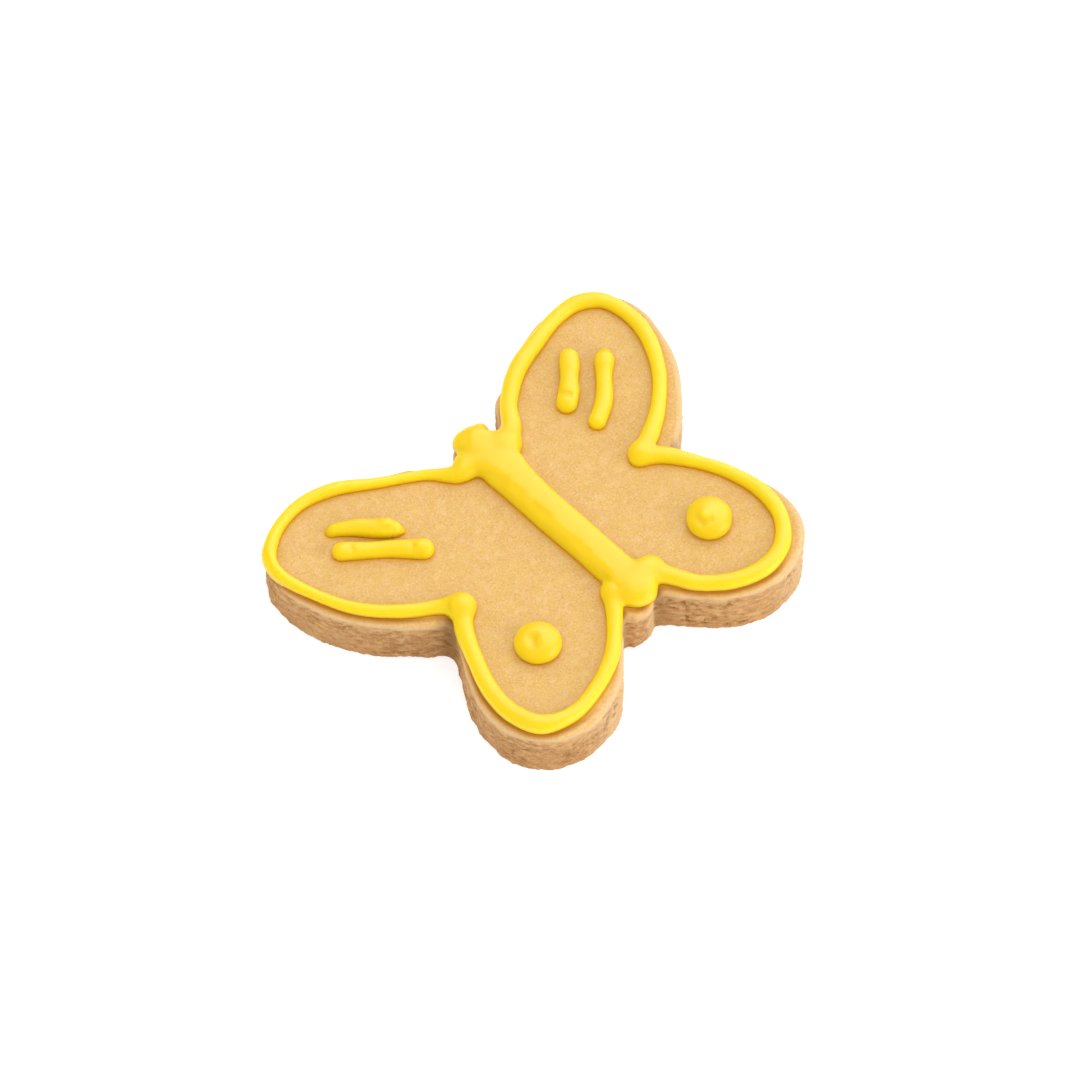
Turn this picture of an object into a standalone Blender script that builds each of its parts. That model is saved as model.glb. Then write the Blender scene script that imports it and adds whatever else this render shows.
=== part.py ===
"""Butterfly-shaped dog biscuit with hand-piped yellow icing, at its real size in metres.

The biscuit lies flat on its base, its head towards +Y and its wings spread along X.
The origin is at the centre of the base. Sizes below are in millimetres and are
turned into metres as each mesh is made.
"""

import math

import bpy
from mathutils import Vector, noise

MM = 0.001

# Biscuit: rolled dough, cut out with a mirror-symmetric cutter.
THICKNESS = 9.9
RIM_RADIUS = 0.9          # rounding of the top edge
RIM_STEPS = 3
FOOT_RADIUS = 0.4         # rounding of the bottom edge
FOOT_STEPS = 2
OUTLINE_STEP = 1.8        # distance between outline points
WALL_ROWS = 9             # rows of points up the wall, between foot and rim
CRACK_DEPTH = 0.6         # how strongly cracks cut into the wall
CRACK_START = 0.1         # noise level above which a crack opens
CRACK_LENGTH = 5.0
CRACK_HEIGHT = 1.8
WALL_WOBBLE = 0.25        # slow unevenness of the cut edge
WOBBLE_LENGTH = 9.0

# Right half of the cutter, clockwise from the tip of the head to the tip of the tail.
HALF_OUTLINE = [
    (0.0, 23.4),
    (2.2, 22.3),
    (3.6, 20.4),
    (4.7, 18.9),          # notch between head and forewing
    (6.4, 20.5),
    (9.4, 24.5),
    (19.3, 30.0),
    (27.6, 32.15),        # front of the forewing
    (35.3, 31.1),
    (39.7, 25.1),
    (40.1, 18.7),         # tip of the forewing
    (37.6, 10.9),
    (33.4, 4.9),
    (28.4, -0.1),
    (25.3, -2.6),         # notch between the wings
    (26.8, -6.4),
    (30.0, -11.8),
    (32.3, -19.0),        # tip of the hindwing
    (31.4, -25.7),
    (27.3, -30.4),
    (20.3, -32.15),       # back of the hindwing
    (12.7, -29.8),
    (6.4, -23.8),
    (3.3, -20.9),         # notch between hindwing and tail
    (1.8, -22.0),
    (0.0, -22.4),
]

# Icing: a bead is nearly round, flat where it lies on the biscuit.
ICING_GAP = 0.3           # clearance between the icing's flat underside and the biscuit
BEAD_HEIGHT = 1.4         # height of a bead over half its width
BEAD_CENTRE = 0.55        # height of its widest level over half its width
BEAD_SQUARENESS = 2.3     # exponent of a section: 2 is an ellipse
BEAD_SIDES = 12
BEAD_STEP = 1.7
CAP_RINGS = 3             # rings in the round end of a bead
CAP_ANGLE = math.radians(80.0)
CUTTER_REACH = 60.0       # half width of the slab that cuts the undersides flat
CUTTER_DEPTH = 6.0

# Routes of the piped lines as (x, y, half width).
LEFT_FOREWING = [
    (-1.6, 17.2, 1.7),
    (-4.8, 18.0, 1.6),
    (-8.4, 21.4, 1.0),
    (-15.9, 26.0, 0.95),
    (-21.5, 29.6, 1.2),
    (-27.3, 31.3, 1.15),
    (-33.3, 30.3, 1.05),
    (-38.0, 27.5, 1.25),
    (-39.3, 25.2, 1.15),
    (-39.4, 22.2, 1.05),
    (-37.8, 16.4, 1.0),
    (-34.7, 9.9, 1.1),
    (-29.7, 4.5, 1.2),
    (-24.7, 1.0, 1.3),
    (-21.9, -1.2, 1.8),
]
LEFT_HINDWING = [
    (-21.6, -1.9, 1.8),
    (-24.1, -4.4, 1.6),
    (-27.0, -10.3, 1.4),
    (-29.4, -17.0, 1.5),
    (-29.7, -22.7, 1.6),
    (-27.7, -27.2, 1.65),
    (-22.5, -29.1, 1.3),
    (-16.4, -28.0, 1.25),
    (-10.4, -25.2, 1.3),
    (-5.7, -20.8, 1.3),
    (-2.1, -16.6, 1.7),
]
RIGHT_FOREWING = [
    (4.5, 16.9, 2.0),
    (7.8, 18.9, 1.7),
    (10.7, 22.7, 1.45),
    (16.1, 26.6, 1.55),
    (22.0, 28.6, 1.45),
    (28.0, 30.1, 1.3),
    (32.7, 29.9, 1.4),
    (36.1, 27.6, 1.3),
    (37.5, 22.8, 1.25),
    (36.9, 17.5, 1.3),
    (33.5, 10.8, 1.2),
    (28.6, 5.7, 1.25),
    (23.9, 2.5, 1.5),
    (19.9, 0.6, 1.5),
]
RIGHT_HINDWING = [
    (19.2, 0.3, 1.35),
    (22.2, -1.6, 1.45),
    (26.1, -7.1, 1.2),
    (28.7, -12.8, 1.15),
    (29.7, -18.6, 1.3),
    (28.5, -24.0, 1.25),
    (25.1, -27.9, 1.35),
    (20.3, -29.4, 1.45),
    (14.8, -28.1, 1.4),
    (9.9, -24.4, 1.35),
    (7.1, -19.9, 1.55),
    (5.0, -17.2, 1.9),
]

# The thick bar along the body has a flattened top.
BODY_BAR = [
    (1.6, 19.9, 2.7),
    (1.8, 17.4, 3.9),
    (1.4, 14.0, 3.75),
    (1.1, 9.0, 3.25),
    (1.05, 2.0, 3.15),
    (1.3, -6.0, 3.1),
    (1.4, -14.0, 3.15),
    (1.7, -18.0, 3.3),
]
BODY_HEIGHT = 3.0
BODY_CENTRE = 1.1
BODY_SQUARENESS = 3.2
BODY_SIDES = 16

# Blobs where the piping starts, stops or turns, as (x, y, radius, height).
BLOBS = [
    (0.4, 21.4, 2.5, 2.5),       # lobe on the head
    (2.4, 21.4, 1.9, 2.5),       # crown of the head
    (3.6, 21.6, 1.1, 2.1),       # corner of the crown
    (-2.6, 18.6, 1.9, 2.5),      # left of the head
    (5.2, 16.8, 2.1, 2.7),       # right of the head
    (-22.1, -1.6, 2.1, 2.5),     # left notch
    (20.1, 1.0, 1.6, 2.4),       # right notch
    (-2.0, -16.2, 1.7, 2.3),     # left of the tail
    (-0.9, -15.6, 1.6, 2.3),     # between it and the body
    (4.6, -16.8, 2.1, 2.7),      # right of the tail
    (6.1, -17.0, 1.9, 2.4),      # end of the right hindwing's line
    (1.4, -18.2, 3.3, 2.9),      # tail
]
BLOB_SIDES = 20
BLOB_RINGS = 9
BLOB_CENTRE = 0.35        # height of a blob's widest level over its full height
BLOB_SQUARENESS = 2.4

# Two dashes on each forewing.
DASHES = {
    "icing_dash_left_front": [
        (-26.9, 23.6, 1.1),
        (-26.3, 23.2, 1.2),
        (-23.8, 21.1, 1.5),
        (-21.6, 18.8, 1.65),
        (-20.4, 17.8, 1.7),
        (-19.5, 16.7, 1.3),
        (-19.0, 16.2, 0.6),
    ],
    "icing_dash_left_back": [
        (-29.1, 19.6, 1.6),
        (-28.3, 19.0, 1.6),
        (-25.6, 16.8, 1.45),
        (-23.2, 14.9, 1.45),
        (-20.6, 12.5, 1.65),
        (-18.9, 10.9, 1.75),
    ],
    "icing_dash_right_front": [
        (24.3, 22.7, 1.6),
        (23.4, 21.6, 1.7),
        (21.4, 19.5, 1.5),
        (19.7, 17.7, 1.75),
        (17.9, 16.3, 1.8),
    ],
    "icing_dash_right_back": [
        (29.5, 19.7, 0.8),
        (28.3, 18.4, 1.65),
        (27.2, 17.3, 1.5),
        (25.8, 15.8, 1.3),
        (24.0, 13.7, 1.45),
        (21.8, 11.8, 1.5),
        (19.2, 10.3, 1.5),
    ],
}

# One dot on each hindwing, as (x, y, radius, height): the left one has a dimple where
# the nozzle left it, the right one a small peak.
LEFT_DOT = (-17.6, -15.3, 3.95, 3.2)
RIGHT_DOT = (19.5, -16.4, 3.95, 3.5)
DOT_SQUARENESS = 2.0
DOT_MARK_OFFSET = (-0.9, 0.1)
DOT_MARK_RADIUS = 1.1
LEFT_DOT_DIMPLE = -0.5
RIGHT_DOT_PEAK = 0.5

BISCUIT_COLOUR = (0.86, 0.53, 0.18, 1.0)
ICING_COLOUR = (0.99, 0.76, 0.07, 1.0)


def clear_scene():
    for old in list(bpy.data.objects):
        bpy.data.objects.remove(old)


def make_material(name, colour, roughness):
    material = bpy.data.materials.new(name)
    material.use_nodes = True
    shader = material.node_tree.nodes["Principled BSDF"]
    shader.inputs["Base Color"].default_value = colour
    shader.inputs["Roughness"].default_value = roughness
    shader.inputs["Metallic"].default_value = 0.0
    return material


def make_object(name, points, faces, material):
    """A smooth-shaded object from points in millimetres."""
    mesh = bpy.data.meshes.new(name)
    mesh.from_pydata([Vector(point) * MM for point in points], [], faces)
    mesh.materials.append(material)
    mesh.shade_smooth()
    thing = bpy.data.objects.new(name, mesh)
    bpy.context.scene.collection.objects.link(thing)
    return thing


def curve_point(before, start, end, after, t):
    """A point on the centripetal Catmull-Rom curve from start (t = 0) to end (t = 1)."""
    knots = [0.0]
    corners = [before, start, end, after]
    for a, b in zip(corners, corners[1:]):
        knots.append(knots[-1] + math.sqrt((b - a).length))
    t = knots[1] + t * (knots[2] - knots[1])

    def blend(p, q, low, high):
        return p.lerp(q, (t - knots[low]) / (knots[high] - knots[low]))

    first = [blend(corners[i], corners[i + 1], i, i + 1) for i in range(3)]
    second = [blend(first[i], first[i + 1], i, i + 2) for i in range(2)]
    return blend(second[0], second[1], 1, 2)


def smooth_route(points, step, closed=False):
    """Points about step apart on a smooth curve through the given ones."""
    corners = [Vector(point) for point in points]
    count = len(corners)
    if closed:
        ring = [corners[-1]] + corners + corners[:2]
        spans = count
    else:
        ring = [2 * corners[0] - corners[1]] + corners + [2 * corners[-1] - corners[-2]]
        spans = count - 1
    route = []
    for i in range(spans):
        pieces = max(1, round((ring[i + 2] - ring[i + 1]).length / step))
        for k in range(pieces):
            route.append(curve_point(*ring[i:i + 4], k / pieces))
    if not closed:
        route.append(corners[-1])
    return route


def tangents(route, closed=False):
    """Unit directions in the XY plane along a route."""
    result = []
    last = len(route) - 1
    for i in range(len(route)):
        before = route[i - 1] if closed or i > 0 else route[0]
        after = route[(i + 1) % len(route)] if closed or i < last else route[last]
        result.append((after.xy - before.xy).normalized())
    return result


def skin_rings(rings):
    """Quads between successive closed rings of equal length."""
    sides = len(rings[0])
    faces = []
    for row in range(len(rings) - 1):
        for i in range(sides):
            j = (i + 1) % sides
            low = row * sides
            faces.append((low + i, low + j, low + sides + j, low + sides + i))
    return faces


def wall_depth(x, y, z):
    """How far the wall is pushed in (or out, below 0): slow wobble, and level cracks."""
    wobble = noise.noise(Vector((x, y, z)) / WOBBLE_LENGTH) * WALL_WOBBLE
    level = noise.noise(Vector((x / CRACK_LENGTH, y / CRACK_LENGTH, z / CRACK_HEIGHT)))
    return wobble + max(0.0, abs(level) - CRACK_START) * CRACK_DEPTH


def wall_levels():
    """Levels from base to top, as (height, lean inwards, share of the relief)."""
    levels = []
    for k in range(FOOT_STEPS):
        angle = 0.5 * math.pi * k / FOOT_STEPS
        levels.append((FOOT_RADIUS * (1 - math.cos(angle)),
                       FOOT_RADIUS * (1 - math.sin(angle)), math.sin(angle)))
    wall = THICKNESS - RIM_RADIUS - FOOT_RADIUS
    for row in range(WALL_ROWS):
        levels.append((FOOT_RADIUS + wall * row / (WALL_ROWS - 1), 0.0, 1.0))
    for k in range(1, RIM_STEPS + 1):
        angle = 0.5 * math.pi * k / RIM_STEPS
        levels.append((THICKNESS - RIM_RADIUS * (1 - math.sin(angle)),
                       RIM_RADIUS * (1 - math.cos(angle)), math.cos(angle)))
    return levels


def make_biscuit(material):
    """Cut dough: flat base, cracked upright wall, rounded top rim and flat top."""
    left_half = [(-x, y) for x, y in HALF_OUTLINE[-2:0:-1]]
    outline = smooth_route([(x, y, 0.0) for x, y in HALF_OUTLINE + left_half],
                           OUTLINE_STEP, closed=True)
    inward = [Vector((way.y, -way.x)) for way in tangents(outline, closed=True)]

    rings = []
    for z, inset, relief in wall_levels():
        ring = []
        for point, way in zip(outline, inward):
            depth = inset + relief * wall_depth(point.x, point.y, z)
            ring.append((point.x + way.x * depth, point.y + way.y * depth, z))
        rings.append(ring)
    sides = len(outline)
    faces = [tuple(reversed(face)) for face in skin_rings(rings)]
    faces.append(tuple(range(sides)))
    faces.append(tuple(reversed(range((len(rings) - 1) * sides, len(rings) * sides))))
    points = [point for ring in rings for point in ring]
    return make_object("biscuit", points, faces, material)


def squared(share, squareness):
    """A sine or cosine pushed outwards, so that a circle becomes squarer."""
    return math.copysign(abs(share) ** (2 / squareness), share)


def bead_section(half_width, height, centre, squareness, sides):
    """Points (across, up) round a bead, up being measured from the biscuit's top."""
    section = []
    for i in range(sides):
        angle = 2 * math.pi * (i + 0.5) / sides
        across = squared(math.cos(angle), squareness)
        up = squared(math.sin(angle), squareness)
        section.append((across * half_width, centre + up * (height - centre)))
    return section


def make_bead(name, points, material, section_of):
    """A piped line with round ends; section_of gives its section at a half width."""
    route = smooth_route(points, BEAD_STEP)
    ways = tangents(route)
    stations = [(spot.xy, way, spot.z, 1.0) for spot, way in zip(route, ways)]
    start, end = [], []
    for k in range(1, CAP_RINGS + 1):
        angle = CAP_ANGLE * k / CAP_RINGS
        for caps, spot, way, side in ((start, route[0], ways[0], -1),
                                      (end, route[-1], ways[-1], 1)):
            reach = side * spot.z * math.sin(angle)
            caps.append((spot.xy + way * reach, way, spot.z, math.cos(angle)))
    stations = start[::-1] + stations + end

    rings = []
    for spot, way, half_width, shrink in stations:
        ring = []
        middle = half_width * BEAD_CENTRE
        for across, up in section_of(half_width):
            side = Vector((way.y, -way.x)) * across * shrink
            ring.append((spot.x + side.x, spot.y + side.y, middle + (up - middle) * shrink))
        rings.append(ring)
    sides = len(rings[0])
    faces = skin_rings(rings)
    faces.append(tuple(reversed(range(sides))))
    faces.append(tuple(range((len(rings) - 1) * sides, len(rings) * sides)))
    lifted = [(x, y, z + THICKNESS) for ring in rings for x, y, z in ring]
    return make_object(name, lifted, faces, material)


def line_section(half_width):
    return bead_section(half_width, half_width * BEAD_HEIGHT, half_width * BEAD_CENTRE,
                        BEAD_SQUARENESS, BEAD_SIDES)


def body_section(half_width):
    return bead_section(half_width, BODY_HEIGHT, BODY_CENTRE, BODY_SQUARENESS,
                        BODY_SIDES)


def make_blob(name, x, y, radius, height, material, squareness, mark=0.0):
    """A round blob of icing. Mark raises a small peak, or sinks a dimple, off centre."""
    centre = BLOB_CENTRE * height
    rings = []
    for row in range(1, BLOB_RINGS):
        polar = math.pi * row / BLOB_RINGS
        reach = radius * squared(math.sin(polar), squareness)
        ring = []
        for i in range(BLOB_SIDES):
            angle = 2 * math.pi * i / BLOB_SIDES
            px = x + reach * math.cos(angle)
            py = y + reach * math.sin(angle)
            pz = centre - (height - centre) * squared(math.cos(polar), squareness)
            off = math.hypot(px - x - DOT_MARK_OFFSET[0], py - y - DOT_MARK_OFFSET[1])
            if pz > centre:
                pz += mark * math.exp(-(off / DOT_MARK_RADIUS) ** 2)
            ring.append((px, py, pz + THICKNESS))
        rings.append(ring)
    faces = skin_rings(rings)
    faces.append(tuple(reversed(range(BLOB_SIDES))))
    last = (len(rings) - 1) * BLOB_SIDES
    faces.append(tuple(range(last, last + BLOB_SIDES)))
    points = [point for ring in rings for point in ring]
    return make_object(name, points, faces, material)


def make_underside_cutter():
    """A slab from below up to the level of the icing's underside."""
    reach = CUTTER_REACH
    top = THICKNESS + ICING_GAP
    corners = [(x, y, z) for z in (top - CUTTER_DEPTH, top)
               for x, y in ((-reach, -reach), (reach, -reach), (reach, reach), (-reach, reach))]
    faces = [(3, 2, 1, 0), (4, 5, 6, 7)]
    faces += [(i, (i + 1) % 4, 4 + (i + 1) % 4, 4 + i) for i in range(4)]
    return make_object("underside_cutter", corners, faces, None)


def add_boolean(thing, operation, solid=None, group=None):
    cut = thing.modifiers.new(operation.lower(), 'BOOLEAN')
    cut.solver = 'EXACT'
    cut.operation = operation
    if group:
        cut.operand_type = 'COLLECTION'
        cut.collection = group
    else:
        cut.object = solid


def apply_modifiers(thing):
    graph = bpy.context.evaluated_depsgraph_get()
    shaped = bpy.data.meshes.new_from_object(thing.evaluated_get(graph))
    thing.modifiers.clear()
    thing.data = shaped


def join_icing(pieces, cutter):
    """Fuse overlapping pieces into the first one and give them one flat underside."""
    base = pieces[0]
    group = bpy.data.collections.new("icing_pieces")
    bpy.context.scene.collection.children.link(group)
    for piece in pieces[1:]:
        group.objects.link(piece)
    if pieces[1:]:
        add_boolean(base, 'UNION', group=group)
    add_boolean(base, 'DIFFERENCE', solid=cutter)
    apply_modifiers(base)
    for piece in pieces[1:]:
        bpy.data.objects.remove(piece)
    bpy.data.collections.remove(group)
    base.data.shade_smooth()
    return base


def main():
    clear_scene()
    baked = make_material("baked_dough", BISCUIT_COLOUR, 0.85)
    icing = make_material("icing", ICING_COLOUR, 0.45)
    make_biscuit(baked)

    cutter = make_underside_cutter()
    piping = [make_bead("icing_outline", BODY_BAR, icing, body_section)]
    for route in (LEFT_FOREWING, LEFT_HINDWING, RIGHT_FOREWING, RIGHT_HINDWING):
        piping.append(make_bead("wing_line", route, icing, line_section))
    for x, y, radius, height in BLOBS:
        piping.append(make_blob("blob", x, y, radius, height, icing, BLOB_SQUARENESS))
    join_icing(piping, cutter)

    for name, route in DASHES.items():
        join_icing([make_bead(name, route, icing, line_section)], cutter)
    for name, size, mark in (("icing_dot_left", LEFT_DOT, LEFT_DOT_DIMPLE),
                             ("icing_dot_right", RIGHT_DOT, RIGHT_DOT_PEAK)):
        join_icing([make_blob(name, *size, icing, DOT_SQUARENESS, mark)], cutter)
    bpy.data.objects.remove(cutter)


main()
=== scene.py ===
"""Looks of the butterfly-shaped dog biscuit: sandy baked dough and smooth hand-piped icing.

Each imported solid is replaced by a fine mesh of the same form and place. Lengths are in
millimetres, except those of the lights and the camera's distances, and are turned into metres
as each mesh or material is made. The head points to +Y.
"""

import math

import bpy
import numpy as np
from mathutils import Matrix, Vector, noise
from mathutils.geometry import delaunay_2d_cdt
from mathutils.kdtree import KDTree


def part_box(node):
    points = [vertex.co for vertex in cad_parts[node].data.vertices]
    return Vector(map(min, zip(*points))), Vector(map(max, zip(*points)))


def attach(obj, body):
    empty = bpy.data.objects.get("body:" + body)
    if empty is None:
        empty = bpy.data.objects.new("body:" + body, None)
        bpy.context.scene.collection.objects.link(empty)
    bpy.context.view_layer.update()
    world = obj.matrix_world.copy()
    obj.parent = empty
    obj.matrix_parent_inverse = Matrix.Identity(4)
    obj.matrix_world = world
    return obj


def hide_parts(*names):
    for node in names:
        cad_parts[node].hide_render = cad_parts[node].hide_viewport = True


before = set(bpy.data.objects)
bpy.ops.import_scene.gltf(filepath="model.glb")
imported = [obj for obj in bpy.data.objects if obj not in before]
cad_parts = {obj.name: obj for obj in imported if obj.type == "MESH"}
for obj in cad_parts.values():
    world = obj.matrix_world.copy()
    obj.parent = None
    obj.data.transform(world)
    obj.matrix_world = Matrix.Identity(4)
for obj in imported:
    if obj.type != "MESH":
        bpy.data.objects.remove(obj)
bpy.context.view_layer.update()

MM = 0.001

# Dough, cut out with a mirror-symmetric cutter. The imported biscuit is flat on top.
THICKNESS = round(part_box("biscuit")[1].z / MM, 3)
RIM_RADIUS = 0.9
RIM_STEPS = 7
FOOT_RADIUS = 0.4
FOOT_STEPS = 3
OUTLINE_STEP = 0.33
WALL_ROWS = 48
TOP_STEP = 0.36           # spacing of the mesh points on the top
BASE_STEP = 1.1           # and on the base
ROW_PITCH = math.sqrt(0.75)    # spacing of the rows of an even triangular lattice, over its own
EDGE_CLEARANCE = 0.6      # share of the spacing that these points keep from the edge
KEEP_INSIDE = 1           # tells the triangulation to keep what lies inside the outline
MERGE_DISTANCE = 1e-6

HALF_OUTLINE = [
    (0.0, 23.4),
    (2.2, 22.3),
    (3.6, 20.4),
    (4.7, 18.9),
    (6.4, 20.5),
    (9.4, 24.5),
    (13.6, 26.8),
    (19.3, 30.0),
    (27.6, 32.15),
    (35.3, 31.1),
    (39.7, 25.1),
    (40.1, 18.7),
    (37.6, 10.9),
    (33.4, 4.9),
    (28.4, -0.1),
    (25.3, -2.6),
    (26.8, -6.4),
    (30.0, -11.8),
    (32.3, -19.0),
    (31.4, -25.7),
    (27.3, -30.4),
    (20.3, -32.15),
    (12.7, -29.8),
    (6.4, -23.8),
    (3.3, -20.9),
    (1.8, -22.0),
    (0.0, -22.4),
]

# The wall: slow unevenness and cracks in its large form, then a torn waist under a smooth
# shoulder, level fissures where the dough pulled into layers, short streaks and crumb.
WALL_WOBBLE = 0.25
WOBBLE_LENGTH = 9.0
CRACK_DEPTH = 0.6
CRACK_START = 0.1         # noise at which a crack begins
CRACK_LENGTH = 5.0
CRACK_HEIGHT = 1.8
SHOULDER = 8.4            # height of the middle of the smooth band's lower edge
SHOULDER_HALF = 1.1       # half the height over which the band turns into the waist
SHOULDER_WANDER = 0.7
SHOULDER_WANDER_LENGTH = 7.0
WAIST_DEPTH = 0.06
FISSURE_DEPTH = 0.3
FISSURE_WIDTH = 0.14      # noise on either side of 0 that a fissure takes up
FISSURE_LENGTH = 2.4
FISSURE_HEIGHT = 1.3
STREAK_DEPTH = 0.8
STREAK_START = 0.12
STREAK_LENGTH = 1.2
STREAK_HEIGHT = 0.55
PATCH_LENGTH = 5.5        # size of the patches in which fissures and streaks crowd
PATCH_EDGE = (-0.2, 0.3)  # noise at which a patch begins and is full
PATCH_LEAST = 0.3         # share of their depth that is left between the patches
TORN_START = (0.2, 1.6)   # height at which fissures and streaks begin and are whole
CRUMB_DEPTH = 0.13
CRUMB_SIZE = 0.8
FOOT_CRUMB_DEPTH = 0.22   # unevenness of the lower edge
FOOT_CRUMB_SIZE = 3.0
FOOT_CRUMB_REACH = 1.3

TOP_SWELL = 0.09          # slow unevenness of the rolled top
TOP_SWELL_LENGTH = 11.0
TOP_GRAIN = 0.04
TOP_GRAIN_SIZE = 0.9
GRAIN_SLICE = 5.0         # level at which the top's grain is cut from a solid noise

# How fractal noises fall off, step down in size and how often, as noise.fractal takes them.
FINE_FRACTAL = (0.6, 2.1, 3)
FOOT_FRACTAL = (0.7, 2.2, 2)

SOAK_AND_SHADE_REACH = 0.65         # how far the fat stain and the painted contact shade reach into the top beside the icing
SHADED_RIM_REACH = 1.15     # and outwards, over the rim, where the rim gets painted shade
RIM_STRIP = (1.0, 2.0)    # the rim counts as full up to the first distance from the outline
SHADED_SIDE = Vector((-0.82, -0.57))    # the rim that faces this way, away from the light, gets painted shade
SHADED_FACING = (0.1, 0.6)              # how squarely, where that painted shade begins and is full
LIT_SIDE = Vector((0.74, -0.68))       # the wall that faces this way is painted paler, as painted light from this side
LIT_FACING = (0.5, 1.0)
NOOK_SPAN = 7.0           # half the stretch of outline over which a corner counts as a nook
NOOK_DEPTHS = (1.0, 4.0)  # how deep corners are where the wall's painted shade begins and is full

# Numbers that each point of the biscuit carries for its material: how deep it lies in a
# fissure, which is painted in shade, the share of wall, of smooth band and of nook there, the
# nook painted in shade, and how much of it is painted lighter, as painted light from one side.
DOUGH_MARKS = ("recess", "wall", "band", "nook", "painted_light")
FLAT_MARKS = (0.0, 1.0, 0.0, 0.0)    # all but the first, on the top and the base
# And those marked once the icing is laid: how near it is, for a fat stain and painted contact
# shade, and how much painted shade the rim gets there.
SOAK_AND_SHADE_MARKS = ("soak_and_shade", "rim_shade")

# Icing. It is worked out as a field of rough distances on a grid, so that runs which meet
# flow together, and is then skinned where the field is zero.
BEAD_HEIGHT = 1.4         # height of a bead over half its width
BEAD_CENTRE = 0.55        # height of its widest level over half its width
BEAD_STEP = 0.8
BODY_HEIGHT = 3.0
BODY_CENTRE = 1.1
BLOB_CENTRE = 0.35        # height of a blob's widest level over its height
BODY_SQUARENESS = 3.2     # exponent of a section: 2 is an ellipse
BEAD_SQUARENESS = 2.3
BLOB_SQUARENESS = 2.4
ROUND_SQUARENESS = 2.0
CELL = 0.2                # spacing of the grid for the outline
FINE_CELL = 0.14          # and for dashes and dots
SIDE_MARGIN = 4.0         # cells of the grid beside the icing
UNDER_MARGIN = 2.5        # and under it
FAR = 1.5                 # distances past this aren't worked out
TINY = 1e-9               # keeps a division from failing
FLOW_REACH = 1.2          # how far runs that meet are drawn into each other
MARK_REACH = 3.0          # radii past which a dent doesn't show
ICING_SINK = 0.35         # depth of the icing's underside below the biscuit's top
UNEVENNESS = 0.05
UNEVENNESS_LENGTH = 3.0
UNEVENNESS_SLICE = 3.0    # level at which the unevenness is cut from a solid noise
RELAX_ROUNDS = 3
RIM_SAG = 0.8             # share of the rim's drop that the icing over it follows
SAG_FADE = 1.2            # height over which that share fades

# Routes of the piping, as (x, y, half width).
LEFT_FOREWING = [
    (-1.6, 17.2, 1.7),
    (-4.8, 18.0, 1.6),
    (-8.4, 21.4, 1.0),
    (-15.9, 26.0, 0.95),
    (-21.5, 29.6, 1.2),
    (-27.3, 31.3, 1.15),
    (-33.3, 30.3, 1.05),
    (-38.0, 27.5, 1.25),
    (-39.3, 25.2, 1.15),
    (-39.4, 22.2, 1.05),
    (-37.8, 16.4, 1.0),
    (-34.7, 9.9, 1.1),
    (-29.7, 4.5, 1.2),
    (-24.7, 1.0, 1.3),
    (-21.9, -1.2, 1.8),
]
LEFT_HINDWING = [
    (-21.6, -1.9, 1.8),
    (-24.1, -4.4, 1.6),
    (-27.0, -10.3, 1.4),
    (-29.4, -17.0, 1.5),
    (-29.7, -22.7, 1.6),
    (-27.7, -27.2, 1.65),
    (-22.5, -29.1, 1.3),
    (-16.4, -28.0, 1.25),
    (-10.4, -25.2, 1.3),
    (-5.7, -20.8, 1.3),
    (-2.1, -16.6, 1.7),
]
RIGHT_FOREWING = [
    (4.5, 16.9, 2.0),
    (7.8, 18.9, 1.7),
    (10.7, 22.7, 1.45),
    (16.1, 26.6, 1.55),
    (22.0, 28.6, 1.45),
    (28.0, 30.1, 1.3),
    (32.7, 29.9, 1.4),
    (36.1, 27.6, 1.3),
    (37.5, 22.8, 1.25),
    (36.9, 17.5, 1.3),
    (33.5, 10.8, 1.2),
    (28.6, 5.7, 1.25),
    (23.9, 2.5, 1.5),
    (19.9, 0.6, 1.5),
]
RIGHT_HINDWING = [
    (19.2, 0.3, 1.35),
    (22.2, -1.6, 1.45),
    (26.1, -7.1, 1.2),
    (28.7, -12.8, 1.15),
    (29.7, -18.6, 1.3),
    (28.5, -24.0, 1.25),
    (25.1, -27.9, 1.35),
    (20.3, -29.4, 1.45),
    (14.8, -28.1, 1.4),
    (9.9, -24.4, 1.35),
    (7.1, -19.9, 1.55),
    (5.0, -17.2, 1.9),
]
BODY_BAR = [
    (1.6, 19.9, 2.7),
    (1.8, 17.4, 3.9),
    (1.4, 14.0, 3.75),
    (1.1, 9.0, 3.25),
    (1.05, 2.0, 3.15),
    (1.3, -6.0, 3.1),
    (1.4, -14.0, 3.15),
    (1.7, -18.0, 3.3),
]
DASHES = {
    "icing_dash_left_front": [
        (-26.9, 23.6, 1.1),
        (-26.3, 23.2, 1.2),
        (-23.8, 21.1, 1.5),
        (-21.8, 19.0, 1.65),
        (-20.6, 18.0, 1.7),
        (-19.9, 17.2, 1.4),
        (-18.85, 16.05, 0.45),
    ],
    "icing_dash_left_back": [
        (-29.1, 19.6, 1.6),
        (-28.3, 19.0, 1.6),
        (-25.6, 16.8, 1.45),
        (-23.2, 14.9, 1.45),
        (-20.6, 12.5, 1.65),
        (-18.9, 10.9, 1.75),
    ],
    "icing_dash_right_front": [
        (24.3, 22.7, 1.6),
        (23.4, 21.6, 1.7),
        (21.4, 19.5, 1.5),
        (19.7, 17.7, 1.75),
        (17.9, 16.3, 1.8),
    ],
    "icing_dash_right_back": [
        (29.5, 19.7, 0.8),
        (28.3, 18.4, 1.65),
        (27.2, 17.3, 1.5),
        (25.8, 15.8, 1.3),
        (24.0, 13.7, 1.45),
        (21.8, 11.8, 1.5),
        (19.2, 10.3, 1.5),
    ],
}

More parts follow.
